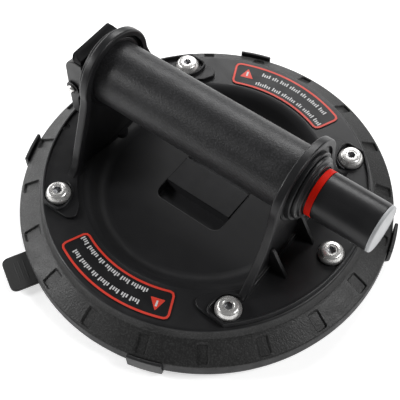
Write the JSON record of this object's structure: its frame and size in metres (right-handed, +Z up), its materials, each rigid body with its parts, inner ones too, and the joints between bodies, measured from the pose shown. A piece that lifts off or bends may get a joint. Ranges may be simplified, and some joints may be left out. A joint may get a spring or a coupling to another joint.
{
  "type": "hand pump vacuum suction cup",
  "caption": "Vacuum suction cup with a pump built into its bridge handle, a stroke indicator ring, a release lever and a clip-on pad cover.",
  "frame": {"origin": "on the disc's axis, at the underside of the protective cover that the cup stands on", "axes": "+Z up through the disc's axis, +X along the handle towards the pump plunger, -X towards the release lever, +Y completes a right-handed frame"},
  "size_m": [0.21, 0.2135, 0.0984],
  "materials": {
    "housing_plastic": "fine moulded texture, dark grey, with smooth darker bands on the raised land and in the bowl",
    "bracket_plastic": "satin near-black moulding",
    "grip_finish": "matte dark powder coat with a fine grain",
    "plunger_plastic": "smooth satin near-black",
    "end_disc": "pale grey satin disc",
    "signal_red": "red stroke indicator band",
    "cover_plastic": "dark satin sheet and clips",
    "pad_rubber": "matte dark moulded rubber",
    "seal_rubber": "smooth black seals and valves",
    "thumb_rubber": "matte soft-touch grip",
    "stainless": "bright stainless bolts, pin and springs",
    "steel": "plated steel plate and small parts",
    "barrel_metal": "drawn aluminium tube",
    "nylon": "grey moulded nylon",
    "filter_foam": "open foam disc",
    "label_print": "black label with a red outline, a red triangle and plain bars in place of text"
  },
  "bodies": {
    "base": {"base_housing": "housing_plastic", "backing_plate": "steel", "rubber_pad": "pad_rubber", "pad_filter": "filter_foam", "housing_bolt_1": "stainless", "housing_bolt_2": "stainless", "housing_bolt_3": "stainless", "housing_bolt_4": "stainless", "housing_bolt_5": "stainless", "housing_bolt_6": "stainless", "plate_standoff_1": "steel", "plate_standoff_2": "steel", "plate_standoff_3": "steel", "plate_standoff_4": "steel", "plate_standoff_5": "steel", "plate_standoff_6": "steel", "front_bracket": "bracket_plastic", "rear_bracket": "bracket_plastic", "grip_tube": "grip_finish", "pump_barrel": "barrel_metal", "plunger_guide": "bracket_plastic", "rear_plug": "nylon", "plug_seal": "seal_rubber", "inlet_check_valve": "seal_rubber", "exhaust_check_valve": "seal_rubber", "return_spring": "stainless", "lever_pin": "stainless", "lever_washer": "seal_rubber", "lever_pin_clip": "steel", "valve_spring": "stainless", "valve_gland": "nylon", "warning_label_near": "label_print", "warning_label_far": "label_print"},
    "plunger": {"plunger_tube": "plunger_plastic", "indicator_ring": "signal_red", "plunger_end_cap": "end_disc", "piston": "nylon", "piston_seal": "seal_rubber"},
    "lever": {"release_lever": "bracket_plastic", "lever_thumb_pad": "thumb_rubber"},
    "valve": {"valve_stem": "steel", "valve_seal": "seal_rubber"},
    "cover": {"protective_cover": "cover_plastic"}
  },
  "joints": [
    {"name": "plunger_slide", "type": "slide", "parent": "base", "child": "plunger", "axis": [-1, 0, 0], "range_m": [0, 0.033], "stiffness_N_per_m": 400, "springref_m": -0.02, "deforming": ["return_spring"]},
    {"name": "lever_pivot", "type": "hinge", "parent": "base", "child": "lever", "pos_m": [-0.077, 0, 0.063], "axis": [0, 1, 0], "range_deg": [0, 6], "stiffness_Nm_per_rad": 0.15, "springref_deg": -11.46},
    {"name": "valve_lift", "type": "slide", "parent": "base", "child": "valve", "axis": [-1, 0, 0], "range_m": [0, 0.0021], "deforming": ["valve_spring"]},
    {"name": "cover_release", "type": "slide", "parent": "base", "child": "cover", "axis": [0, 0, -1], "range_m": [0, 0.03]}
  ],
  "couplings": [
    {"joint": "valve_lift", "follows": "lever_pivot", "m_per_rad": 0.02}
  ]
}
